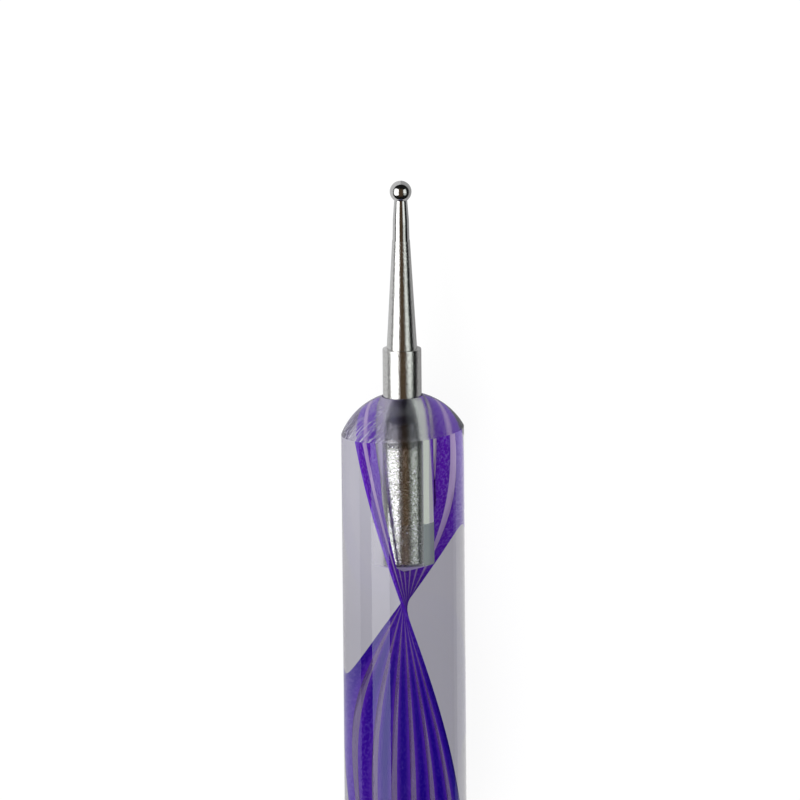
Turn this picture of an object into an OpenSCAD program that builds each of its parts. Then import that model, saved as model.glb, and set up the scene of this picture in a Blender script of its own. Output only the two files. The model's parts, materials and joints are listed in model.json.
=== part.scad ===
// Embossing stylus: a clear rod with a striped sheet twisted inside it, and a
// ball-tipped steel point glued into each domed end. Sizes are in millimetres.
// Each piece is drawn along its own axis, Z, with the rod's middle at the origin.
// lay_down() then lays it on the table along X, with the front point towards +X.

/* [Handle] */
// Diameter of the clear rod
handle_d = 9.5; // [8.8:0.1:12]
// Length of the rod over its two domed ends
handle_len = 92; // [75:1:130]
// Height of the dome ground on each end
dome_h = 2.95; // [2:0.05:4]

/* [Swirl] */
// Number of coloured stripes across the sheet
stripe_count = 7; // [4:1:7]
// Width of one coloured stripe
stripe_w = 0.7; // [0.5:0.02:0.8]
// Width of the pale film between two stripes
film_w = 0.3; // [0.2:0.02:0.56]
// Thickness of the striped sheet
sheet_t = 0.35; // [0.2:0.05:0.6]
// Length of rod in which the sheet makes one full turn
swirl_pitch = 65; // [50:1:180]
// Depth below the front mouth at which the sheet stands on edge
pinch_depth = 16.2; // [5:0.1:40]

/* [Ferrules] */
// Diameter of a ferrule where it shows
ferrule_d = 3; // [2.6:0.1:4]
// Length of a ferrule that shows outside the rod
ferrule_out = 3.75; // [2:0.25:8]
// Depth of a ferrule inside the rod
insert_len = 13; // [6:0.5:20]
// How much the ferrule grows on the radius inside the rod
insert_step = 0.075; // [0.025:0.025:0.2]
// Depth below the mouth at which the ferrule starts to grow
step_depth = 0.1; // [0.05:0.05:1]
// Length of the cone by which it grows
step_slope = 0.8; // [0.2:0.1:2]
// Chamfer at the ferrule's inner end
insert_chamfer = 0.2; // [0.1:0.05:0.4]
// Break on the ferrule's outer rim
rim_break = 0.06; // [0.02:0.02:0.2]

/* [Adhesive] */
// Gap on the radius between a ferrule's inner part and its hole
glue_gap = 0.1; // [0.05:0.025:0.2]
// How far the adhesive reaches up a ferrule from its inner end
glue_len = 3.3; // [1:0.1:4.5]
// Point angle of the drill that made the holes
drill_angle = 140; // [110:5:160]

/* [Points] */
// Width of the ferrule's flat rim round the tapered shank
shank_inset = 0.325; // [0.2:0.025:0.4]
// Length of the tapered shank
shank_len = 8.5; // [5:0.5:15]
// Diameter of the shank's thin end
shank_tip_d = 1.37; // [1.2:0.01:1.6]
// Width of the shoulder with which the shank sits on the ferrule
shank_seat = 0.155; // [0.1:0.005:0.25]
// Length of the shank's spigot in the ferrule
spigot_len = 7; // [3:0.5:12]
// Length of the stem from the shank to the ball's centre
stem_len = 3.8; // [2.8:0.1:8]
// How much the stem steps in from the shank, on the radius
stem_step = 0.03; // [0.01:0.01:0.08]
// Length of the stem's straighter part
stem_straight = 1.6; // [0.8:0.1:2.4]
// Diameter at the end of the straighter part
stem_waist_d = 1.24; // [1.1:0.02:1.3]
// Diameter to which the stem runs at the ball's centre
stem_neck_d = 0.9; // [0.6:0.05:1.05]
// Diameter of the stem's pin in the shank
pin_d = 0.7; // [0.4:0.05:0.9]
// Length of the stem's pin in the shank
pin_len = 2.5; // [1:0.25:4]
// Diameter of the front ball
front_ball_d = 1.68; // [1.4:0.02:3]
// Diameter of the rear ball
rear_ball_d = 2.4; // [1.4:0.1:3.5]

/* [Hidden] */
$fn = 96;

// Gap on the radius that the braze fills round a spigot or a pin
braze_gap = 0.02;
// Free length at the closed end of a socket
socket_end = 0.3;
// How far a cutting shape runs past what it cuts
overrun = 1;
// The sheet turns by about this many degrees from one station to the next
station_turn = 9;

handle_r = handle_d / 2;
shoulder_z = handle_len / 2 - dome_h;
dome_r = (handle_r ^ 2 + dome_h ^ 2) / (2 * dome_h);
dome_centre_z = handle_len / 2 - dome_r;

ferrule_r = ferrule_d / 2;
insert_r = ferrule_r + insert_step;
bore_r = insert_r + glue_gap;
drill_h = bore_r / tan(drill_angle / 2);
mouth_z = dome_centre_z + sqrt(dome_r ^ 2 - bore_r ^ 2);

shank_r = ferrule_r - shank_inset;
spigot_r = shank_r - shank_seat;
shank_tip_r = shank_tip_d / 2;
pin_r = pin_d / 2;
stem_r = shank_tip_r - stem_step;

shank_z = ferrule_out;
stem_z = shank_z + shank_len;
ball_z = stem_z + stem_len;
front_reach = mouth_z + ball_z + front_ball_d / 2;
rear_reach = mouth_z + ball_z + rear_ball_d / 2;

sheet_w = stripe_count * stripe_w + (stripe_count - 1) * film_w;
strip_edges = 2 * stripe_count;
swirl_len = handle_len + 2 * overrun;
twist_rate = 360 / swirl_pitch;
stations = ceil(swirl_len * twist_rate / station_turn);
pinch_z = mouth_z - pinch_depth;

purple = [0.16, 0.02, 0.5];
lilac = [0.66, 0.6, 0.72, 0.6];
clear = [0.78, 0.77, 0.84, 0.35];
nickel = [0.72, 0.72, 0.7];
glue = [0.8, 0.79, 0.76, 0.5];

// Where two strips of the sheet meet, measured across it from the middle
function strip_edge(i) =
    floor(i / 2) * (stripe_w + film_w) + (i % 2) * stripe_w - sheet_w / 2;

function station_z(i) = swirl_len * (i / stations - 0.5);

function turn_at(z) = 180 - twist_rate * (z - pinch_z);

// The corners of the twisted sheet at one station, in pairs from face to face
function station(z, edges) = [
    for (u = edges, v = [-sheet_t / 2, sheet_t / 2])
        let (a = turn_at(z))
        [u * cos(a) - v * sin(a), u * sin(a) + v * cos(a), z]
];

// A length of the twisted sheet from strip edge first to strip edge last. Its
// facets split the same way in every strip, so neighbours meet face to face.
module twisted_sheet(first, last) {
    edges = [for (i = [first:last]) strip_edge(i)];
    n = len(edges);
    function at(i, j, k) = 2 * (n * i + j) + k;
    points = [for (i = [0:stations]) each station(station_z(i), edges)];
    broad = [
        for (i = [0:stations - 1], j = [0:n - 2])
        each [
            [at(i, j, 0), at(i + 1, j, 0), at(i + 1, j + 1, 0)],
            [at(i, j, 0), at(i + 1, j + 1, 0), at(i, j + 1, 0)],
            [at(i, j, 1), at(i + 1, j + 1, 1), at(i + 1, j, 1)],
            [at(i, j, 1), at(i, j + 1, 1), at(i + 1, j + 1, 1)]
        ]
    ];
    sides = [
        for (i = [0:stations - 1])
        each [
            [at(i, 0, 1), at(i + 1, 0, 1), at(i, 0, 0)],
            [at(i + 1, 0, 1), at(i + 1, 0, 0), at(i, 0, 0)],
            [at(i, n - 1, 1), at(i, n - 1, 0), at(i + 1, n - 1, 1)],
            [at(i + 1, n - 1, 1), at(i, n - 1, 0), at(i + 1, n - 1, 0)]
        ]
    ];
    ends = [
        for (j = [0:n - 2])
        each [
            [at(0, j, 0), at(0, j + 1, 0), at(0, j + 1, 1), at(0, j, 1)],
            [at(stations, j, 0), at(stations, j, 1), at(stations, j + 1, 1), at(stations, j + 1, 0)]
        ]
    ];
    polyhedron(points, concat(broad, sides, ends));
}

module lay_down() {
    translate([(rear_reach - front_reach) / 2, 0, handle_r]) rotate([0, 90, 0]) children();
}

// Children are drawn from the mouth of the end's hole, pointing outwards
module at_end(place) {
    rotate([place == "rear" ? 180 : 0, 0, 0]) translate([0, 0, mouth_z]) children();
}

module dome_profile() {
    intersection() {
        translate([0, dome_centre_z]) circle(dome_r);
        translate([0, shoulder_z]) square([handle_r, dome_h]);
    }
}

module rod() {
    rotate_extrude() {
        translate([0, -shoulder_z]) square([handle_r, 2 * shoulder_z]);
        dome_profile();
        mirror([0, 1]) dome_profile();
    }
}

module bore() {
    rotate_extrude() polygon([
        [0, -insert_len - drill_h],
        [bore_r, -insert_len],
        [bore_r, overrun],
        [0, overrun]
    ]);
}

module bores() {
    for (place = ["front", "rear"]) at_end(place) bore();
}

module strip(first, last) {
    lay_down() difference() {
        intersection() {
            rod();
            twisted_sheet(first, last);
        }
        bores();
    }
}

module handle() {
    color(clear) lay_down() difference() {
        rod();
        bores();
        twisted_sheet(0, strip_edges - 1);
    }
}

module swirl_stripe(i) {
    color(purple) strip(2 * i - 2, 2 * i - 1);
}

module swirl_film(i) {
    color(lilac) strip(2 * i - 1, 2 * i);
}

// The turned outside of a ferrule, as if it had no socket
module ferrule_envelope() {
    polygon([
        [0, -insert_len],
        [insert_r - insert_chamfer, -insert_len],
        [insert_r, insert_chamfer - insert_len],
        [insert_r, -step_depth - step_slope],
        [ferrule_r, -step_depth],
        [ferrule_r, ferrule_out - rim_break],
        [ferrule_r - rim_break, ferrule_out],
        [0, ferrule_out]
    ]);
}

module ferrule(place) {
    socket_len = spigot_len + socket_end;
    color(nickel) lay_down() at_end(place) rotate_extrude() difference() {
        ferrule_envelope();
        translate([0, ferrule_out - socket_len]) square([spigot_r + braze_gap, socket_len + overrun]);
    }
}

// Fills the drill's point and the gap round the ferrule's inner end
module adhesive(place) {
    color(glue) lay_down() at_end(place) rotate_extrude() difference() {
        polygon([
            [0, -insert_len - drill_h],
            [bore_r, -insert_len],
            [bore_r, glue_len - insert_len],
            [0, glue_len - insert_len]
        ]);
        ferrule_envelope();
    }
}

module taper_shank(place) {
    hole_r = pin_r + braze_gap;
    hole_floor = shank_len - pin_len - socket_end;
    color(nickel) lay_down() at_end(place) translate([0, 0, shank_z]) rotate_extrude() polygon([
        [0, -spigot_len],
        [spigot_r, -spigot_len],
        [spigot_r, 0],
        [shank_r, 0],
        [shank_tip_r, shank_len],
        [hole_r, shank_len],
        [hole_r, hole_floor],
        [0, hole_floor]
    ]);
}

module ball_tip(place, ball_d) {
    color(nickel) lay_down() at_end(place) translate([0, 0, stem_z]) rotate_extrude() {
        polygon([
            [0, -pin_len],
            [pin_r, -pin_len],
            [pin_r, 0],
            [stem_r, 0],
            [stem_waist_d / 2, stem_straight],
            [stem_neck_d / 2, stem_len],
            [0, stem_len]
        ]);
        intersection() {
            translate([0, stem_len]) circle(ball_d / 2);
            translate([0, stem_len - ball_d]) square([ball_d, 2 * ball_d]);
        }
    }
}

handle();
for (i = [1:stripe_count])
    swirl_stripe(i);
for (i = [1:stripe_count - 1])
    swirl_film(i);
for (place = ["front", "rear"]) {
    ferrule(place);
    adhesive(place);
    taper_shank(place);
}
ball_tip("front", front_ball_d);  // front_ball_tip
ball_tip("rear", rear_ball_d);  // rear_ball_tip
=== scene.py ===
# Embossing stylus: a clear rod with a striped sheet twisted inside it and a ball
# point glued into each end. It lies along X on the floor, front point towards +X.
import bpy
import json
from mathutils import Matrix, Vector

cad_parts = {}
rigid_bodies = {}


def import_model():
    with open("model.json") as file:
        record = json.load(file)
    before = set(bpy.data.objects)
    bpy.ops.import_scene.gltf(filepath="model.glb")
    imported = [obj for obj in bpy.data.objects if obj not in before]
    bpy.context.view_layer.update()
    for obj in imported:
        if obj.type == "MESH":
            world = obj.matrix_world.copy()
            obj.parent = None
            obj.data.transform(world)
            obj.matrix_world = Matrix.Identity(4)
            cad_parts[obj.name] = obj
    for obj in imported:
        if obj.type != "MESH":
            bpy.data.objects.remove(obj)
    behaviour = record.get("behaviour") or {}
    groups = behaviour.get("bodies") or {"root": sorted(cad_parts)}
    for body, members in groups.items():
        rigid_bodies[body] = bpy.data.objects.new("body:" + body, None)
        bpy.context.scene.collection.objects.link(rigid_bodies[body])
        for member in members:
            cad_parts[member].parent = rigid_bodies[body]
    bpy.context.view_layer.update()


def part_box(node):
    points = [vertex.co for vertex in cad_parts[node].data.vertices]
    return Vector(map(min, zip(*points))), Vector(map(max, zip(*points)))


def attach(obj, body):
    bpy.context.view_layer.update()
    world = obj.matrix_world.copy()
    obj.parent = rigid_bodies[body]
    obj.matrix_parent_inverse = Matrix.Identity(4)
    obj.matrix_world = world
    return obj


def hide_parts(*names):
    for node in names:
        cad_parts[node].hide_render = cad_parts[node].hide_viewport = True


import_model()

import json
import math

import bmesh
import bpy
from mathutils import Matrix, Vector

mm = 0.001


# Places along the rod, in millimetres, worked out from the frame
def span(node):
    low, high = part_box(node)
    return low.x / mm, high.x / mm


handleLow, handleHigh = span("handle")
rod = {
    "middle": (handleLow + handleHigh) / 2,
    "radius": (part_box("handle")[1].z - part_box("handle")[0].z) / mm / 2,
    "domeHeight": 2.95,
    "mouthRadius": 1.675,  # of the solid's drilled hole, whose edge ends the solid
    "holeRadius": 1.58,    # as the photo shows it, inside the solid's own hole
    "holeDepth": 13.0,
    "glueLength": 3.3,
    "segments": 320,
    "domeRings": 40,
    "domeShift": 0.15,     # the front dome is ground a little off the axis
    "domeStart": 1.9,      # all of a dome is further than this past its centre
    "drillAngle": 70.0,    # half the angle of the drill's point
    "barrelRings": 60,
}
rod["domeRadius"] = (rod["radius"] ** 2 + rod["domeHeight"] ** 2) / (2 * rod["domeHeight"])
mouth = handleHigh - rod["middle"]
rod["domeCentre"] = mouth - math.sqrt(rod["domeRadius"] ** 2 - rod["mouthRadius"] ** 2)
rod["length"] = 2 * (rod["domeCentre"] + rod["domeRadius"])
rod["shoulder"] = rod["length"] / 2 - rod["domeHeight"]
axisHeight = rod["radius"] * mm


# Depth of the drill's point under a hole
def drillPoint(radius):
    return radius / math.tan(math.radians(rod["drillAngle"]))


sheet = {
    "stripes": 7,
    "stripeWidth": 0.7,
    "filmWidth": 0.3,
    "reach": 3.16,         # the outer stripes are trimmed to this, from the sheet's middle
    "offset": -0.08,       # the sheet's middle lies this far off the rod's axis
    "sideOffset": 0.07,    # and its plane this far
    "stripeThickness": 0.2,
    "filmThickness": 0.17,
    "pitch": 65.0,
    "pinchDepth": 16.3,
    "stepsPerTurn": 160,
    "gap": 0.002,          # between a stripe and the film beside it
    "overlength": 2.0,     # the strips are made this much too long, then trimmed
    "trimRings": 24,
    "trimSegments": 128,
    "inset": 0.03,         # the strips stop this far inside the rod's surface
    "holeClear": (1.68, 1.92),  # the hole in the strips, near its mouth and near its bottom
    "holeClearDepth": (6.0, 8.3),
}

point = {
    "ferruleOut": 3.75,
    "ferruleRadius": 1.5,
    "rimBreak": 0.06,
    "rimEase": 0.04,       # the break's two flats reach this much further
    "rimMiddle": 0.3,      # share of the break at which they meet
    "collarSteps": 10,
    "insertChamfer": 0.2,
    "spigotRadius": 1.02,
    "spigotLength": 7.0,
    "socketEnd": 0.3,
    "fitGap": 0.02,
    "shankLength": 8.5,
    "shankRadius": 1.175,
    "shankTipRadius": 0.685,
    "stemLength": 3.8,
    "stemStep": 0.03,
    "stemStraight": 1.6,
    "stemWaistRadius": 0.62,
    "waistEase": (0.3, 0.006),  # length and height of the soft bend before the waist
    "stemNeckRadius": 0.45,
    "pinRadius": 0.35,
    "pinLength": 2.5,
    "segments": 160,
    "shankSteps": 16,
    "ballArcSteps": 56,
    "neckPlace": 0.86,     # the stem meets the ball about this share of its radius from its centre
}
# Where the shank starts and ends along the rod
point["foot"] = mouth + point["ferruleOut"]
point["top"] = point["foot"] + point["shankLength"]
pinch = mouth - sheet["pinchDepth"]
print("frame loaded, mouth at", round(mouth, 3), "mm from the rod's middle")

scene = bpy.context.scene
scene.view_settings.view_transform = "Standard"

# Camera
view = {
    "tilt": 12.0,          # degrees from square on, towards the front point
    "distance": 0.9,
    "frameWidth": 0.06176,
    "target": (0.04557, 0.00018, axisHeight),
    "roll": -0.4775,
    "sensor": 36,
}


def makeCamera():
    camera = bpy.data.objects.new("camera", bpy.data.cameras.new("camera"))
    scene.collection.objects.link(camera)
    tilt = math.radians(view["tilt"])
    back = Vector((math.sin(tilt), 0, math.cos(tilt)))
    up = Vector((math.cos(tilt), 0, -math.sin(tilt)))
    turn = Matrix((up.cross(back), up, back)).transposed().to_4x4()
    roll = Matrix.Rotation(math.radians(view["roll"]), 4, "Z")
    place = Matrix.Translation(Vector(view["target"]) + back * view["distance"])
    camera.matrix_world = place @ turn @ roll
    camera.data.sensor_width = view["sensor"]
    camera.data.lens = view["sensor"] * view["distance"] / view["frameWidth"]
    camera.data.clip_start = 0.05
    camera.data.clip_end = 20
    scene.camera = camera


makeCamera()


# A socket of a shader node, so that shader maths reads as arithmetic
class Wire:
    def __init__(self, tree, socket):
        self.tree = tree
        self.socket = socket

    def make(self, kind, settings=None, out=0, **inputs):
        node = self.tree.nodes.new(kind)
        for name, value in (settings or {}).items():
            if name == "ramp":
                fillRamp(node.color_ramp, value)
            else:
                setattr(node, name, value)
        for name, value in inputs.items():
            key = int(name[1:]) if name[0] == "i" and name[1:].isdigit() else name.replace("_", " ")
            feed(self.tree, node.inputs[key], value)
        return Wire(self.tree, node.outputs[out])

    def math(self, operation, other=None, third=None):
        values = {"i0": self}
        if other is not None:
            values["i1"] = other
        if third is not None:
            values["i2"] = third
        return self.make("ShaderNodeMath", {"operation": operation}, **values)

    def __add__(self, other):
        return self.math("ADD", other)

    def __radd__(self, other):
        return self.math("ADD", other)

    def __sub__(self, other):
        return self.math("SUBTRACT", other)

    def __rsub__(self, other):
        return self.make("ShaderNodeMath", {"operation": "SUBTRACT"}, i0=other, i1=self)

    def __mul__(self, other):
        return self.math("MULTIPLY", other)

    def __rmul__(self, other):
        return self.math("MULTIPLY", other)

    def __truediv__(self, other):
        return self.math("DIVIDE", other)


def feed(tree, socket, value):
    if isinstance(value, Wire):
        tree.links.new(value.socket, socket)
    elif isinstance(value, tuple) and len(value) == 3 and socket.type == "RGBA":
        socket.default_value = (*value, 1)
    else:
        socket.default_value = value


def fillRamp(ramp, stops):
    while len(ramp.elements) < len(stops):
        ramp.elements.new(0.5)
    for element, (place, level) in zip(ramp.elements, stops):
        element.position = place
        element.color = (level, level, level, 1)


def newMaterial(name):
    material = bpy.data.materials.new(name)
    material.use_nodes = True
    tree = material.node_tree
    shader = tree.nodes["Principled BSDF"]
    place = Wire(tree, tree.nodes.new("ShaderNodeTexCoord").outputs["Object"])
    return material, shader, place


def setShader(shader, **values):
    tree = shader.id_data
    for name, value in values.items():
        feed(tree, shader.inputs[name.replace("_", " ")], value)


def setSurface(mixed):
    mixed.tree.links.new(mixed.socket, mixed.tree.nodes["Material Output"].inputs["Surface"])


def noise(place, scale, detail=3.0, rough=0.55, stretch=(1, 1, 1)):
    mapped = place.make("ShaderNodeMapping", i0=place, Scale=tuple(scale * s for s in stretch))
    return place.make("ShaderNodeTexNoise", Vector=mapped, Scale=1.0, Detail=detail, Roughness=rough)


def ramp(value, *stops):
    return value.make("ShaderNodeValToRGB", {"ramp": stops}, Fac=value)


def mixColour(amount, first, second):
    return amount.make("ShaderNodeMix", {"data_type": "RGBA"}, out=2, i0=amount, i6=first, i7=second)


def bump(place, height, strength, distance):
    return place.make("ShaderNodeBump", Strength=strength, Distance=distance, Height=height)


def split(place):
    node = place.tree.nodes.new("ShaderNodeSeparateXYZ")
    place.tree.links.new(place.socket, node.inputs[0])
    return [Wire(place.tree, output) for output in node.outputs]


def lightPath(tree, *names):
    node = tree.nodes.new("ShaderNodeLightPath")
    return [Wire(tree, node.outputs[name]) for name in names]


def makeObject(name, bm):
    mesh = bpy.data.meshes.new(name)
    bm.to_mesh(mesh)
    bm.free()
    made = bpy.data.objects.new(name, mesh)
    scene.collection.objects.link(made)
    return made


# Floor, lamps and dark cards; lengths in metres
stage = {
    "floorSize": 7.0,
    "floorColour": (0.42, 0.42, 0.43),
    "floorCameraColour": (0.17, 0.17, 0.17),
    "floorCameraLight": 0.86,
    "floorMirrorLight": 0.3,
    "floorThroughColour": (0.08, 0.08, 0.081),
    "floorThroughLight": 0.3,
    "worldDiffuse": 0.75,
    "lampDistance": 0.6,
    # each lamp: its edges in degrees from straight up, its ends along X, and for one of them how
    # far it stands behind the others
    "leftLamp": {"edges": (-63, -27), "ends": (-0.27, 0.47), "level": 2.2, "colour": (1, 1, 1)},
    "leftWide": {"edges": (-77, -21), "ends": (-0.27, 0.44), "level": 1.2, "colour": (1, 1, 1)},
    "rightLamp": {"edges": (33, 64), "ends": (-0.27, 0.4), "level": 0.64, "colour": (0.93, 1, 0.95)},
    "rightEnd": {"edges": (27, 58), "ends": (-0.035, 0.36), "level": 0.65, "colour": (1, 1, 1),
                 "behind": 0.01},
    # the same lamps as the metal inside the rod sees them, drawn on the tent
    "insideLeft": {"edges": (-73, -20), "level": 2.45, "colour": (1, 1, 1)},
    "insideTop": {"edges": (-3, 29), "level": 1.0, "colour": (0.2, 0.13, 0.075)},
    "insideRight": {"edges": (39, 71), "level": 0.95, "colour": (0.93, 1, 0.94)},
    "wallGlow": (0.67, 0.76, 0.59),  # painted reflection: the tent glows this colour only for rays that the hole's wall mirrors
    "wallAside": 24.0,     # from this many degrees to each side
    "tentRadius": 0.8,
    "tentHalfLength": 1.3,
    "tentColour": (0.012, 0.012, 0.012),
    "tentTop": (0.092, 0.06, 0.036),
    "tentTopReach": 27.0,  # degrees to each side
    "tentTopSides": (0.42, 0.55),  # it fades between these shares of twice its reach
    "tentTopEnds": (0.55, 0.8),    # and between these places along X
    "sideLevel": 0.62,     # painted shade: the floor on the -Y side, as the metal mirrors it, dimmed to this level
    "deepLevel": 0.3,      # painted shade: the floor, dimmed to this level, as the metal inside the rod mirrors it
    "leftLevels": (0.74, 0.94),  # painted shade under the rod: the floor on the +Y side as the rod shows it, at its middle and at its mouth
    "leftPlaces": (27, 38),      # where along X, in millimetres, these levels lie
    "deepPasses": 2.5,     # a ray that passed more walls than this counts as from inside the hole
    "sideEdge": -0.027,    # painted shade: beyond this Y the floor is dimmed by sideDim where a surface mirrors it
    "sideDim": 0.9,
    "sideGloss": 0.65,     # painted reflection: light added to the floor beside the rod, as the rod's surface mirrors it
    "besideRod": (-0.0095, 0.0085),  # middle and half width in Y of that strip of floor
    "besideEnd": 4,        # it ends this many millimetres before the mouth
    "farThrough": 0.25,    # painted reflection: light added beyond farEdge, as the hole's wall mirrors it
    "farEdge": -0.008,
    "farColour": (0.9, 1.0, 0.78),
}


# Unit vector away from the rod, its angle from straight up, positive to the image's right
def aim(angle):
    return Vector((0, -math.sin(math.radians(angle)), math.cos(math.radians(angle))))


def makeFloor():
    bm = bmesh.new()
    bmesh.ops.create_grid(bm, x_segments=1, y_segments=1, size=stage["floorSize"] / 2)
    floor = makeObject("floor", bm)
    material, shader, place = newMaterial("paleFloor")
    camera, glossy, through, passes = lightPath(
        place.tree, "Is Camera Ray", "Is Glossy Ray", "Is Transmission Ray", "Transmission Depth")
    x, y = split(place)[:2]
    deep = passes.math("GREATER_THAN", stage["deepPasses"])
    # painted shade under the rod: the floor on its +Y side, as the rod shows it, is dimmed along X
    stops = [(at / 100, 1 - level) for at, level in zip(stage["leftPlaces"], stage["leftLevels"])]
    along = ramp(x / (100 * mm), *stops)
    paintedUnderRodShade = ramp(y / mm + 0.5, (0.1, 0.0), (0.9, 1.0)) * along
    mirrored = glossy * (1 - through)
    # painted shade where the metal mirrors the floor on the -Y side, and for rays from inside the hole
    paintedFloorShade = glossy * y.math("LESS_THAN", 0.0) * (1 - stage["sideLevel"])
    paintedFloorShade = paintedFloorShade.math("MAXIMUM", mirrored * y.math("LESS_THAN", stage["sideEdge"]) * stage["sideDim"])
    paintedFloorShade = paintedFloorShade.math("MAXIMUM", through * paintedUnderRodShade.math("MAXIMUM", deep * (1 - stage["deepLevel"])))
    colour = mixColour(camera, stage["floorColour"], stage["floorCameraColour"])
    colour = mixColour(through, colour, stage["floorThroughColour"])
    colour = mixColour(paintedFloorShade, colour, (0, 0, 0))
    light = glossy * stage["floorMirrorLight"] + through * stage["floorThroughLight"]
    # painted reflections: light added beside the rod where its surface mirrors the floor, and beyond
    # farEdge where the hole's wall mirrors it
    stripMiddle, stripHalf = stage["besideRod"]
    paintedReflectionBesideRod = (y - stripMiddle).math("ABSOLUTE").math("LESS_THAN", stripHalf)
    paintedReflectionBesideRod = paintedReflectionBesideRod * x.math("LESS_THAN", (mouth - stage["besideEnd"]) * mm)
    paintedFarReflection = y.math("LESS_THAN", stage["farEdge"]) * through * (1 - deep)
    light = light * (1 - paintedFloorShade) + camera * stage["floorCameraLight"]
    light = light + paintedReflectionBesideRod * mirrored * stage["sideGloss"] + paintedFarReflection * stage["farThrough"]
    setShader(shader, Base_Color=colour, Roughness=1.0, Specular_IOR_Level=0.0)
    glow = mixColour(paintedFarReflection, (1, 1, 1), stage["farColour"])
    setShader(shader, Emission_Color=mixColour(light, (0, 0, 0), glow), Emission_Strength=1.0)
    floor.data.materials.append(material)


def makeWorld():
    world = bpy.data.worlds.new("studio")
    scene.world = world
    world.use_nodes = True
    tree = world.node_tree
    camera, glossy, through = lightPath(tree, "Is Camera Ray", "Is Glossy Ray", "Is Transmission Ray")
    seen = camera.math("MAXIMUM", glossy).math("MAXIMUM", through)
    level = seen * (1 - stage["worldDiffuse"]) + stage["worldDiffuse"]
    background = tree.nodes["Background"]
    background.inputs["Color"].default_value = (1, 1, 1, 1)
    tree.links.new(level.socket, background.inputs["Strength"])


def makeLamp(name, lamp):
    low, high = lamp["edges"]
    reach = stage["lampDistance"] + lamp.get("behind", 0)
    width = 2 * reach * math.tan(math.radians((high - low) / 2))
    rear, front = lamp["ends"]
    data = bpy.data.lights.new(name, "AREA")
    data.shape = "RECTANGLE"
    data.size = width
    data.size_y = front - rear
    data.color = lamp["colour"]
    data.energy = lamp["level"] * math.pi * width * (front - rear)
    light = bpy.data.objects.new(name, data)
    scene.collection.objects.link(light)
    outward = aim((low + high) / 2)
    along = Vector((1, 0, 0))
    turn = Matrix((outward.cross(along) * -1, along, outward)).transposed()
    middle = outward * reach + Vector(((front + rear) / 2, 0, axisHeight))
    light.matrix_world = Matrix.Translation(middle) @ turn.to_4x4()
    light.visible_camera = False
    light.visible_transmission = False
    return light


def makeTent():
    bm = bmesh.new()
    bmesh.ops.create_cone(
        bm, cap_ends=True, cap_tris=False, segments=96, radius1=stage["tentRadius"],
        radius2=stage["tentRadius"], depth=2 * stage["tentHalfLength"],
    )
    bmesh.ops.rotate(bm, verts=bm.verts, cent=(0, 0, 0), matrix=Matrix.Rotation(math.pi / 2, 3, "Y"))
    bmesh.ops.bisect_plane(
        bm, geom=bm.verts[:] + bm.edges[:] + bm.faces[:], dist=1e-5, plane_co=(0, 0, 0.001),
        plane_no=(0, 0, -1), clear_outer=True,
    )
    tent = makeObject("darkTent", bm)
    tent.visible_camera = False
    tent.visible_diffuse = False
    tent.visible_shadow = False
    material, shader, place = newMaterial("darkCard")
    x, y, z = split(place)
    reachY = math.sin(math.radians(stage["tentTopReach"])) * stage["tentRadius"]
    sideFull, sideNone = stage["tentTopSides"]
    endFull, endNone = stage["tentTopEnds"]
    overhead = ramp(y.math("ABSOLUTE") / (2 * reachY), (sideFull, 1.0), (sideNone, 0.0))
    overhead = overhead * ramp(x.math("ABSOLUTE"), (endFull, 1.0), (endNone, 0.0))
    colour = mixColour(overhead, stage["tentColour"], stage["tentTop"])
    passes, bounces = lightPath(place.tree, "Transmission Depth", "Glossy Depth")
    # seen by the metal inside the rod alone, because the lamps themselves skip such rays
    inside = passes.math("GREATER_THAN", stage["deepPasses"])
    aside = (y * -1).math("ARCTAN2", z) * (180 / math.pi)
    # painted reflection, seen only by rays that the hole's wall mirrors
    mirroredWall = aside.math("ABSOLUTE").math("GREATER_THAN", stage["wallAside"])
    mirroredWall = passes.math("COMPARE", 2.0, 0.5) * mirroredWall
    colour = mixColour(mirroredWall, colour, stage["wallGlow"])
    for card in (stage["insideLeft"], stage["insideTop"], stage["insideRight"]):
        low, high = card["edges"]
        band = aside.math("GREATER_THAN", low) * aside.math("LESS_THAN", high) * inside
        level = tuple(card["level"] * part for part in card["colour"])
        colour = mixColour(band, colour, level)
    glow = colour.make("ShaderNodeEmission", Color=colour, Strength=1.0)
    clear = colour.make("ShaderNodeBsdfTransparent")
    both = colour.make("ShaderNodeMixShader", i0=bounces.math("GREATER_THAN", 0.5), i1=clear, i2=glow)
    setSurface(both)
    place.tree.nodes.remove(shader)
    tent.data.materials.append(material)


makeFloor()
makeWorld()
makeLamp("leftLamp", stage["leftLamp"])
metalLamps = [makeLamp(name, stage[name]) for name in ("leftWide", "rightLamp", "rightEnd")]
makeTent()
print("stage made")


# Modelling: every turned piece is a profile spun about the rod's axis, its points given
# as (place along the rod from its middle, radius)
def cadPoint(along, radius):
    return Vector(((along + rod["middle"]) * mm, 0, (rod["radius"] + radius) * mm))


# A sign of -1 gives the rear end
def spinProfile(bm, profile, segments, sign=1):
    verts = [bm.verts.new(cadPoint(sign * along, radius)) for along, radius in profile]
    edges = [bm.edges.new(pair) for pair in zip(verts, verts[1:])]
    bmesh.ops.spin(
        bm, geom=verts + edges, cent=(0, 0, axisHeight), axis=(1, 0, 0), dvec=(0, 0, 0),
        angle=2 * math.pi, steps=segments, use_merge=True, use_duplicate=False,
        use_normal_flip=False,
    )
    bmesh.ops.remove_doubles(bm, verts=bm.verts, dist=1e-7)
    bmesh.ops.dissolve_degenerate(bm, edges=bm.edges, dist=1e-8)
    bmesh.ops.recalc_face_normals(bm, faces=bm.faces)


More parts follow.
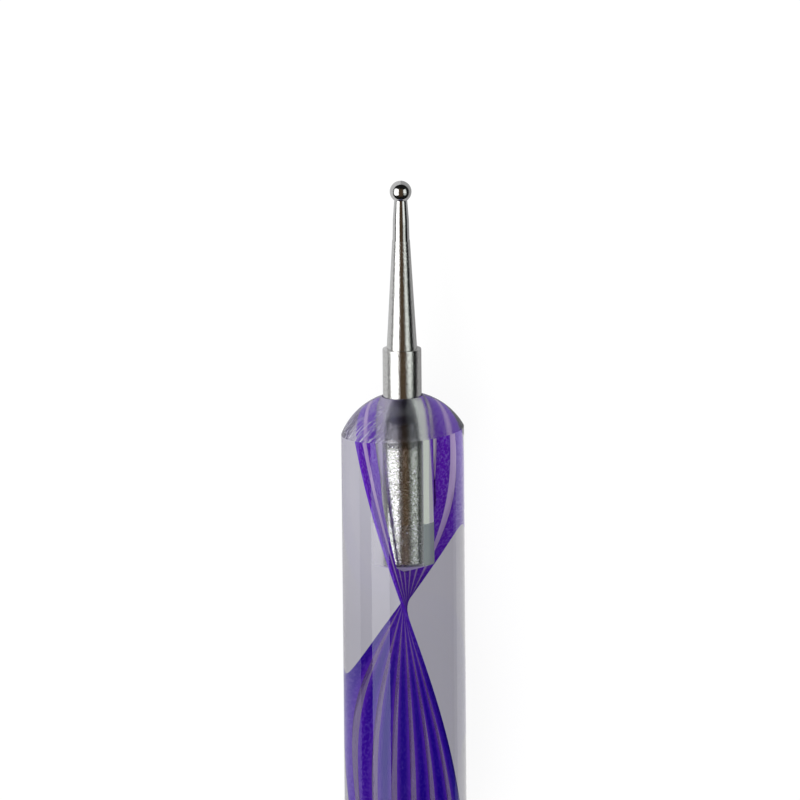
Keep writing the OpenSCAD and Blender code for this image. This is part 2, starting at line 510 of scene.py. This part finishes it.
def finishPiece(bm, name, materials, node, smoothAngle):
    piece = makeObject(name, bm)
    for material in materials:
        piece.data.materials.append(material)
    piece.data.shade_smooth()
    piece.data.set_sharp_from_angle(angle=math.radians(smoothAngle))
    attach(piece, "root")
    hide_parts(node)
    return piece


# Materials of the clear rod
dome = {
    "hazeColour": (0.62, 0.6, 0.72),
    "haze": 0.025,
    "cloud": 0.11,
}
acrylic = {
    "tint": (0.81, 0.795, 0.9),
    "ior": 1.49,
    "shadowTint": (0.88, 0.87, 0.92),
    "domeTint": (0.57, 0.53, 0.69),
}
# Painted reflection: where the hole's wall mirrors from inside, a grey diffuse is mixed in on one side,
# in place of what it mirrors
gluedWallPaintedReflection = {"side": -1, "grey": (0.2, 0.25, 0.25), "share": 0.75}
bareWallPaintedReflection = {"side": 1, "grey": (0.42, 0.41, 0.45), "share": 0.8}


def clearFinish(name, roughness, normal=None, haze=None, wall=None, tint="tint"):
    material, shader, place = newMaterial(name)
    setShader(shader, IOR=acrylic["ior"], Transmission_Weight=1.0, Base_Color=acrylic[tint])
    setShader(shader, Roughness=roughness(place))
    if normal:
        setShader(shader, Normal=normal(place))
    shadow, diffuse = lightPath(place.tree, "Is Shadow Ray", "Is Diffuse Ray")
    straight = shadow.math("MAXIMUM", diffuse)
    clear = place.make("ShaderNodeBsdfTransparent", Color=acrylic["shadowTint"])
    glass = Wire(place.tree, shader.outputs[0])
    if haze:
        frost = place.make("ShaderNodeBsdfDiffuse", Color=dome["hazeColour"])
        glass = place.make("ShaderNodeMixShader", i0=haze(place), i1=glass, i2=frost)
    if wall:
        # painted reflection: a grey diffuse where the wall mirrors from inside, on one side only
        mirrored = place.make("ShaderNodeFresnel", IOR=acrylic["ior"])
        grey = place.make("ShaderNodeBsdfDiffuse", Color=wall["grey"])
        y = split(place)[1]
        paintedReflection = mirrored * (y * wall["side"]).math("GREATER_THAN", 0.0) * wall["share"]
        glass = place.make("ShaderNodeMixShader", i0=paintedReflection, i1=glass, i2=grey)
    setSurface(place.make("ShaderNodeMixShader", i0=straight, i1=glass, i2=clear))
    return material


# The drill's point, filled with adhesive: see-through but for a painted pale sheen where its surface
# turns from view
cone = {"clear": (0.96, 0.95, 0.98), "pale": (0.7, 0.62, 0.85), "rim": 0.8, "least": 0.05}


def coneFinish():
    material, shader, place = newMaterial("filledCone")
    rim = place.make("ShaderNodeLayerWeight", out=1, Blend=0.5)
    clear = place.make("ShaderNodeBsdfTransparent", Color=cone["clear"])
    # painted sheen: a pale diffuse mixed in by how far the surface turns from view
    pale = place.make("ShaderNodeBsdfDiffuse", Color=cone["pale"])
    amount = rim * rim * cone["rim"] + cone["least"]
    setSurface(place.make("ShaderNodeMixShader", i0=amount, i1=clear, i2=pale))
    place.tree.nodes.remove(shader)
    return material


def holeRoughness(place):
    return noise(place, 2500, 3, 0.6) * 0.08 + 0.04


def barrelRoughness(place):
    smear = noise(place, 420, 4, 0.6, (0.35, 1, 1))
    return smear * 0.03


def barrelNormal(place):
    waves = noise(place, 190, 2, 0.4, (0.25, 1, 1))
    return bump(place, waves, 0.12, 0.00006)


def domeRoughness(place):
    cloud = noise(place, 900, 5, 0.65)
    return cloud * 0.16 + 0.08


# Fine oblique scratches, most of them on the dome's +Y side
def domeScratches(place):
    turned = place.make("ShaderNodeMapping", i0=place, Rotation=(0, 0, 0.78))
    long = ramp(noise(turned, 1500, 2, 0.6, (0.16, 5.0, 5.0)), (0.54, 0.0), (0.59, 1.0))
    short = ramp(noise(turned, 2600, 3, 0.6, (0.4, 3.0, 3.0)), (0.55, 0.0), (0.62, 1.0))
    patches = ramp(noise(place, 420, 2, 0.5), (0.4, 0.0), (0.5, 1.0))
    y = split(place)[1]
    side = ramp((y / mm + 4.75) / 9.5, (0.35, 0.25), (0.6, 1.0))
    return (long + short * 0.6) * patches * side


def domeHaze(place):
    cloud = noise(place, 700, 5, 0.65)
    y = split(place)[1]
    side = ramp((y / mm + 5) / 10, (0.33, 0.3), (0.37, 0.04), (0.62, 0.04), (0.68, 0.65), (0.95, 1.0))
    return (domeScratches(place) * 0.5 + cloud * dome["cloud"] + dome["haze"]) * side


def domeNormal(place):
    fine = noise(place, 5200, 2, 0.6)
    return bump(place, fine * 0.35 - domeScratches(place), 0.35, 0.00003)


# Points of a dome's profile, from its hole out to its shoulder
def domeArc(domeRadius, hole, shoulder, steps):
    start = math.asin(hole / domeRadius)
    end = math.asin(shoulder / domeRadius)
    angles = [start + (end - start) * i / steps for i in range(steps + 1)]
    return [(rod["domeCentre"] + domeRadius * math.cos(a), domeRadius * math.sin(a)) for a in angles]


# Grinds the front dome a little off the axis, as the real one is
def shiftDome(bm, domeRadius, hole):
    centre = rod["domeCentre"] + rod["middle"]
    for vert in bm.verts:
        y, z = vert.co.y / mm, vert.co.z / mm - rod["radius"]
        if vert.co.x / mm > centre + rod["domeStart"] and math.hypot(y, z) > hole * 0.999:
            flat = (y + rod["domeShift"]) ** 2 + z ** 2
            vert.co.x = (centre + math.sqrt(domeRadius ** 2 - flat)) * mm


def makeRod():
    barrelAcrylic = clearFinish("barrelAcrylic", barrelRoughness, barrelNormal)
    domeAcrylic = clearFinish("domeAcrylic", domeRoughness, domeNormal, domeHaze, tint="domeTint")
    holeAcrylic = clearFinish("holeAcrylic", holeRoughness, wall=bareWallPaintedReflection)
    wettedAcrylic = clearFinish("wettedAcrylic", holeRoughness, wall=gluedWallPaintedReflection)
    filledCone = coneFinish()
    bm = bmesh.new()
    hole = rod["holeRadius"]
    front = rod["domeCentre"] + math.sqrt(rod["domeRadius"] ** 2 - hole ** 2)
    bottom = mouth - rod["holeDepth"]
    glueTop = bottom + rod["glueLength"]
    half = [(bottom - drillPoint(hole), 0.0), (bottom, hole)]
    half += [(bottom + (glueTop - bottom) * i / 4, hole) for i in range(1, 5)]
    half += [(glueTop + (front - glueTop) * i / 12, hole) for i in range(1, 12)]
    half += domeArc(rod["domeRadius"], hole, rod["radius"], rod["domeRings"])
    count = rod["barrelRings"]
    barrel = [(rod["shoulder"] * (1 - 2 * i / count), rod["radius"]) for i in range(1, count)]
    profile = half + barrel + [(-along, radius) for along, radius in reversed(half)]
    spinProfile(bm, profile, rod["segments"])
    shiftDome(bm, rod["domeRadius"], hole)
    # the hole's last rings now lie on its mouth
    bmesh.ops.remove_doubles(bm, verts=bm.verts, dist=1e-7)
    bmesh.ops.dissolve_degenerate(bm, edges=bm.edges, dist=1e-8)
    for face in bm.faces:
        centre = face.calc_center_median()
        along = abs(centre.x / mm - rod["middle"])
        radius = math.hypot(centre.y, centre.z - axisHeight) / mm
        onBarrel = radius >= rod["radius"] * 0.9999
        onDome = radius > hole * 1.001 and not onBarrel and along > mouth * 0.9
        inHole = 2 if along > glueTop else 3 if along > bottom else 4
        face.material_index = 1 if onDome else 0 if onBarrel else inHole
    finishes = [barrelAcrylic, domeAcrylic, holeAcrylic, wettedAcrylic, filledCone]
    return finishPiece(bm, "clearRod", finishes, "handle", 20)


clearRod = makeRod()
print("rod made:", len(clearRod.data.polygons), "faces")


# Materials of the twisted sheet; the place across it follows from the twist
def acrossSheet(place):
    x, y, z = split(place)
    ownZ = x / mm - rod["middle"]
    ownX = rod["radius"] - z / mm
    turn = math.pi - (ownZ - pinch) * (2 * math.pi / sheet["pitch"])
    across = ownX * turn.math("COSINE") + (y / mm) * turn.math("SINE")
    return across - sheet["offset"], ownZ


# The stripes and the film each have a shaded and a lit copy of their colour, which painted light mixes
stripe = {
    "deep": (0.011, 0.0005, 0.19),
    "paintedLitColour": (0.13, 0.014, 0.5),
    "edge": (0.1, 0.022, 0.36),
    "fleck": (0.4, 0.26, 0.75),
}
film = {
    "deep": (0.13, 0.073, 0.25),
    "paintedLitColour": (0.72, 0.52, 0.9),
    "streak": (0.5, 0.42, 0.66),
    "alpha": 0.6,
}


# Painted light: the sheet is drawn lighter towards the front end, from a little above where it stands on
# edge
def paintedLightToFront(along):
    return ramp((along - pinch + 6) / 20, (0.0, 0.0), (0.3, 0.3), (0.5, 0.75), (0.85, 1.0))


def makeStripeMaterial():
    material, shader, place = newMaterial("purpleStripe")
    across, along = acrossSheet(place)
    step = sheet["stripeWidth"] + sheet["filmWidth"]
    offset = (across - (across / step).math("ROUND") * step).math("ABSOLUTE")
    soft = ramp(offset / (sheet["stripeWidth"] / 2), (0.3, 0.0), (1.0, 1.0))
    soft = soft * ramp(across.math("ABSOLUTE") / sheet["reach"], (0.93, 1.0), (0.97, 0.0))
    streaks = noise(place, 2600, 4, 0.65, (0.08, 1, 1))
    cloud = noise(place, 500, 3, 0.6, (0.3, 1, 1))
    flecks = ramp(noise(place, 9000, 2, 0.6, (0.6, 1, 1)), (0.6, 0.0), (0.7, 1.0))
    y = split(place)[1]
    # painted light: the stripes take their lit colour towards the front end and on the +Y side and their
    # shaded colour elsewhere, and their flecks show most where it falls
    front = paintedLightToFront(along)
    paintedLight = front.math("MAXIMUM", ramp(y / mm / 5, (0.2, 0.0), (0.7, 0.6)))
    base = mixColour(paintedLight, stripe["deep"], stripe["paintedLitColour"])
    colour = mixColour(soft * 0.6 + (cloud - 0.5) * 0.4, base, stripe["edge"])
    grains = ramp(noise(place, 9500, 2, 0.6, (0.4, 1, 1)), (0.46, 0.0), (0.66, 1.0))
    spotted = (flecks * 0.3 + grains * 0.3) * (paintedLight * 0.9 + 0.1)
    colour = mixColour(spotted, colour, stripe["fleck"])
    setShader(shader, Base_Color=colour, Roughness=streaks * 0.3 + 0.4, Specular_IOR_Level=0.0)
    setShader(shader, Normal=bump(place, streaks, 0.3, 0.00004))
    return material


def makeFilmMaterial():
    material, shader, place = newMaterial("lilacFilm")
    along = acrossSheet(place)[1]
    streaks = noise(place, 2200, 4, 0.65, (0.08, 1, 1))
    # painted light: the film takes its lit colour towards the front end and its shaded colour elsewhere
    colour = mixColour(paintedLightToFront(along), film["deep"], film["paintedLitColour"])
    colour = mixColour((streaks - 0.5) * 0.5, colour, film["streak"])
    setShader(shader, Base_Color=colour, Roughness=streaks * 0.3 + 0.4, Specular_IOR_Level=0.0)
    setShader(shader, Alpha=streaks * 0.3 + (film["alpha"] - 0.15))
    return material


# The space that the strips may fill: the rod a little inside its surface, less its holes
def trimBody(name, inset):
    bm = bmesh.new()
    radius = rod["domeRadius"] - inset
    holeRadius, deepRadius = sheet["holeClear"]
    upper, lower = sheet["holeClearDepth"]
    bottom = mouth - rod["holeDepth"]
    half = [(bottom - drillPoint(deepRadius), 0.0), (bottom, deepRadius)]
    half += [(mouth - lower, deepRadius), (mouth - upper, holeRadius)]
    half += domeArc(radius, holeRadius, rod["radius"] - inset, sheet["trimRings"])
    spinProfile(bm, half + [(-along, r) for along, r in reversed(half)], sheet["trimSegments"])
    shiftDome(bm, radius, holeRadius)
    return makeObject(name, bm)


# A length of the twisted sheet between two places across it
def makeStrip(name, low, high, thickness, material, node, trim):
    bm = bmesh.new()
    length = rod["length"] + sheet["overlength"]
    turnAll = 360 * length / sheet["pitch"]
    steps = math.ceil(turnAll / 360 * sheet["stepsPerTurn"])
    start = -length / 2
    turn = math.pi - (start - pinch) * 2 * math.pi / sheet["pitch"]
    cosine, sine = math.cos(turn), math.sin(turn)
    near, far = sheet["sideOffset"] - thickness / 2, sheet["sideOffset"] + thickness / 2
    corners = []
    for u, v in ((low, near), (high, near), (high, far), (low, far)):
        ownX, ownY = u * cosine - v * sine, u * sine + v * cosine
        corners.append(bm.verts.new((
            (start + rod["middle"]) * mm, ownY * mm, (rod["radius"] - ownX) * mm)))
    face = bm.faces.new(corners)
    # own X points down and own Y along Y, so a falling own angle turns the same way about +X
    bmesh.ops.spin(
        bm, geom=corners + face.edges[:] + [face], cent=(0, 0, axisHeight), axis=(1, 0, 0),
        dvec=(length / steps * mm, 0, 0), angle=math.radians(-turnAll), steps=steps,
        use_merge=False, use_duplicate=False, use_normal_flip=False,
    )
    bmesh.ops.remove_doubles(bm, verts=bm.verts, dist=1e-7)
    bmesh.ops.recalc_face_normals(bm, faces=bm.faces)
    piece = finishPiece(bm, name, [material], node, 40)
    cut = piece.modifiers.new("trim", "BOOLEAN")
    cut.operation = "INTERSECT"
    cut.solver = "EXACT"
    cut.object = trim
    bpy.context.view_layer.objects.active = piece
    bpy.context.view_layer.update()
    shaped = bpy.data.meshes.new_from_object(piece.evaluated_get(bpy.context.evaluated_depsgraph_get()))
    piece.modifiers.clear()
    piece.data = shaped
    return piece


def makeSheet():
    purpleStripe, lilacFilm = makeStripeMaterial(), makeFilmMaterial()
    trim = trimBody("trimBody", sheet["inset"])
    step = sheet["stripeWidth"] + sheet["filmWidth"]
    for i in range(1, sheet["stripes"] + 1):
        middle = (i - (sheet["stripes"] + 1) / 2) * step
        low = max(middle - sheet["stripeWidth"] / 2, -sheet["reach"]) + sheet["offset"]
        high = min(middle + sheet["stripeWidth"] / 2, sheet["reach"]) + sheet["offset"]
        makeStrip(f"stripe{i}", low, high, sheet["stripeThickness"], purpleStripe,
                  f"swirl_stripe_{i}", trim)
        if i < sheet["stripes"]:
            makeStrip(f"film{i}", high + sheet["gap"], high + sheet["filmWidth"] - sheet["gap"],
                      sheet["filmThickness"], lilacFilm, f"swirl_film_{i}", trim)
    bpy.data.objects.remove(trim)


makeSheet()
print("sheet made")


# Materials of the metal pieces
plating = {
    "colour": (0.66, 0.66, 0.645),
    "dark": (0.4, 0.39, 0.37),
    "roughness": (0.08, 0.22),
    "speck": 0.55,
    "grain": 0.6,
}
polish = {
    "colour": (0.62, 0.62, 0.61),
    "dark": (0.4, 0.4, 0.39),
    "roughness": (0.06, 0.16),
    "speck": 0.25,
    "grain": 0.1,
}
glued = {
    "colour": (0.625, 0.66, 0.5),
    "dark": (0.22, 0.22, 0.17),
    "glint": (0.95, 0.96, 0.85),
    # painted shade on the metal inside the hole, near its mouth
    "paintedShade": (0.012, 0.011, 0.03),
    "paintedShadeDepth": 2.5,
    "paintedInnerShadeDepth": 3.6,
}


def steelFinish(name, look):
    material, shader, place = newMaterial(name)
    grain = noise(place, 6000, 4, 0.7)
    pits = ramp(noise(place, 9000, 1, 0.5), (0.36, 1.0), (0.48, 0.0))
    cloud = noise(place, 900, 4, 0.6)
    spots = pits * look["speck"] + (cloud - 0.5) * 0.3
    setShader(shader, Base_Color=mixColour(spots, look["colour"], look["dark"]), Metallic=1.0)
    smooth, rough = look["roughness"]
    setShader(shader, Roughness=grain * (rough - smooth) + smooth)
    setShader(shader, Normal=bump(place, grain, look["grain"], 0.00003))
    return material


def insertSteel():
    material, shader, place = newMaterial("gluedSteel")
    x = split(place)[0]
    depth = mouth - (x / mm - rod["middle"]).math("ABSOLUTE")
    rings = noise(place, 1500, 4, 0.7, (6.0, 0.25, 0.25))
    grain = noise(place, 10000, 2, 0.6)
    blotches = noise(place, 1400, 4, 0.65)
    pits = ramp(noise(place, 8500, 1, 0.5), (0.4, 1.0), (0.5, 0.0))
    worn = pits * 0.7 + (blotches - 0.5) * 0.9 - 0.04
    colour = mixColour(worn, glued["colour"], glued["dark"])
    # painted glints: pale specks mixed into the metal's colour
    glints = ramp(noise(place, 7500, 1, 0.5), (0.54, 0.0), (0.62, 0.75))
    colour = mixColour(glints, colour, glued["glint"])
    # painted shade near the mouth, near black and ragged where it ends, and a fainter painted shade
    # further into the hole
    paintedShade = ramp((depth + (blotches - 0.5) * 1.2) / 5, (glued["paintedShadeDepth"] / 5 - 0.04, 1.0),
                 (glued["paintedShadeDepth"] / 5 + 0.04, 0.0))
    paintedInnerShade = ramp((depth + (pits - 0.5) * 0.3) / 5, (glued["paintedInnerShadeDepth"] / 5 - 0.03, 1.0),
                (glued["paintedInnerShadeDepth"] / 5 + 0.03, 0.0))
    colour = mixColour(paintedInnerShade * (0.8 - pits * 0.3), colour, glued["paintedShade"])
    colour = mixColour(paintedShade * 0.92, colour, glued["paintedShade"])
    setShader(shader, Base_Color=colour, Metallic=1.0, Roughness=grain * 0.16 + 0.08 + paintedShade * 0.2)
    setShader(shader, Normal=bump(place, rings * 0.35 + grain + blotches, 0.6, 0.00003))
    return material


# Ferrule: the collar that shows and the part glued into the rod, in one
def makeFerrule(side, sign, platedSteel, gluedSteel):
    bm = bmesh.new()
    bottom = mouth - rod["holeDepth"]
    foot, outer, rim = point["foot"], point["ferruleRadius"], point["rimBreak"]
    chamfer, middle, steps = point["insertChamfer"], rim * point["rimMiddle"], point["collarSteps"]
    socket = point["spigotRadius"] + point["fitGap"]
    socketFloor = foot - point["spigotLength"] - point["socketEnd"]
    profile = [(bottom, 0.0), (bottom, outer - chamfer), (bottom + chamfer, outer)]
    profile += [(bottom + (mouth - bottom) * i / steps, outer) for i in range(1, steps + 1)]
    profile += [(foot - rim - point["rimEase"], outer), (foot - middle, outer - middle)]
    profile += [(foot, outer - rim - point["rimEase"]), (foot, socket)]
    profile += [(socketFloor, socket), (socketFloor, 0.0)]
    spinProfile(bm, profile, point["segments"], sign)
    for face in bm.faces:
        centre = face.calc_center_median()
        along = sign * (centre.x / mm - rod["middle"])
        radius = math.hypot(centre.y, centre.z - axisHeight) / mm
        face.material_index = 1 if along < mouth and radius > socket * 1.01 else 0
    finishes = [platedSteel, gluedSteel]
    finishPiece(bm, f"{side}Ferrule", finishes, f"{side}_ferrule", 30)


# Tapered shank with its spigot and the hole for the stem's pin
def makeShank(side, sign, platedSteel):
    bm = bmesh.new()
    foot, top, steps = point["foot"], point["top"], point["shankSteps"]
    hole = point["pinRadius"] + point["fitGap"]
    holeFloor = top - point["pinLength"] - point["socketEnd"]
    taper = point["shankTipRadius"] - point["shankRadius"]
    profile = [(foot - point["spigotLength"], 0.0), (foot - point["spigotLength"], point["spigotRadius"])]
    profile += [(foot, point["spigotRadius"]), (foot, point["shankRadius"])]
    for i in range(1, steps + 1):
        share = i / steps
        profile.append((foot + point["shankLength"] * share, point["shankRadius"] + taper * share))
    profile += [(top, hole), (holeFloor, hole), (holeFloor, 0.0)]
    spinProfile(bm, profile, point["segments"], sign)
    finishPiece(bm, f"{side}Shank", [platedSteel], f"{side}_taper_shank", 30)


# Ball and stem in one, with the pin in the shank; the ball's size comes from the frame
def makeBall(side, sign, polishedSteel):
    bm = bmesh.new()
    top = point["top"]
    centre = top + point["stemLength"]
    low, high = span(f"{side}_ball_tip")
    ballRadius = abs(sign * (high if sign > 0 else low) - sign * rod["middle"]) - centre
    profile = [(top - point["pinLength"], 0.0), (top - point["pinLength"], point["pinRadius"])]
    profile += [(top, point["pinRadius"]), (top, point["shankTipRadius"] - point["stemStep"])]
    waist = top + point["stemStraight"]
    easeLength, easeHeight = point["waistEase"]
    profile += [(waist - easeLength, point["stemWaistRadius"] + easeHeight)]
    profile += [(waist, point["stemWaistRadius"])]
    slope = point["stemNeckRadius"] - point["stemWaistRadius"]
    slope = slope / (point["stemLength"] - point["stemStraight"])
    neck = centre - ballRadius * point["neckPlace"]
    neckRadius = point["stemWaistRadius"] + slope * (neck - waist)
    meet = math.pi - math.asin(min(0.999, neckRadius / ballRadius))
    profile.append((centre + ballRadius * math.cos(meet), neckRadius))
    for i in range(1, point["ballArcSteps"] + 1):
        angle = meet * (1 - i / point["ballArcSteps"])
        profile.append((centre + ballRadius * math.cos(angle), ballRadius * math.sin(angle)))
    spinProfile(bm, profile, point["segments"], sign)
    finishPiece(bm, f"{side}Ball", [polishedSteel], f"{side}_ball_tip", 30)


glue = {
    "colour": (0.62, 0.64, 0.64),
    "alpha": 0.05,
    "bubbleAlpha": 0.4,
    "coneAlpha": 0.3,
    "coneBelow": 0.02,     # the drill's point, from this far under the hole's bottom
    "gap": 0.006,
    "edge": 0.05,          # its upper edge slopes inwards by this length
    "segments": 128,
}


def makeGlueMaterial():
    material, shader, place = newMaterial("clearGlue")
    haze = noise(place, 1800, 4, 0.6)
    bubbles = ramp(noise(place, 6500, 1, 0.5), (0.68, 0.0), (0.72, 1.0))
    setShader(shader, Base_Color=glue["colour"], Roughness=haze * 0.2 + 0.2, Specular_IOR_Level=0.0)
    along = (split(place)[0] / mm - rod["middle"]).math("ABSOLUTE")
    inCone = along.math("LESS_THAN", mouth - rod["holeDepth"] - glue["coneBelow"])
    alpha = haze * glue["alpha"] + bubbles * glue["bubbleAlpha"] + inCone * glue["coneAlpha"]
    setShader(shader, Alpha=alpha)
    return material


def makeGlue(side, sign, material):
    bm = bmesh.new()
    bottom = mouth - rod["holeDepth"]
    outer = rod["holeRadius"] - glue["gap"]
    inner = point["ferruleRadius"] + glue["gap"]
    profile = [(bottom - drillPoint(rod["holeRadius"]) + glue["gap"], 0.0), (bottom, outer)]
    profile += [(bottom + rod["glueLength"] - glue["edge"], outer), (bottom + rod["glueLength"], inner)]
    profile += [(bottom + point["insertChamfer"], inner)]
    profile += [(bottom - glue["gap"], inner - point["insertChamfer"]), (bottom - glue["gap"], 0.0)]
    spinProfile(bm, profile, glue["segments"], sign)
    finishPiece(bm, f"{side}Adhesive", [material], f"{side}_adhesive", 30)


platedSteel = steelFinish("platedSteel", plating)
polishedSteel = steelFinish("polishedSteel", polish)
gluedSteel = insertSteel()
clearGlue = makeGlueMaterial()
for side, sign in (("front", 1), ("rear", -1)):
    makeFerrule(side, sign, platedSteel, gluedSteel)
    makeShank(side, sign, platedSteel)
    makeBall(side, sign, polishedSteel)
    makeGlue(side, sign, clearGlue)
print("points made")

# These lamps show in the metal alone
metalPieces = bpy.data.collections.new("metalPieces")
for piece in scene.objects:
    if piece.name.endswith(("Ferrule", "Shank", "Ball")):
        metalPieces.objects.link(piece)
for lamp in metalLamps:
    lamp.light_linking.receiver_collection = metalPieces
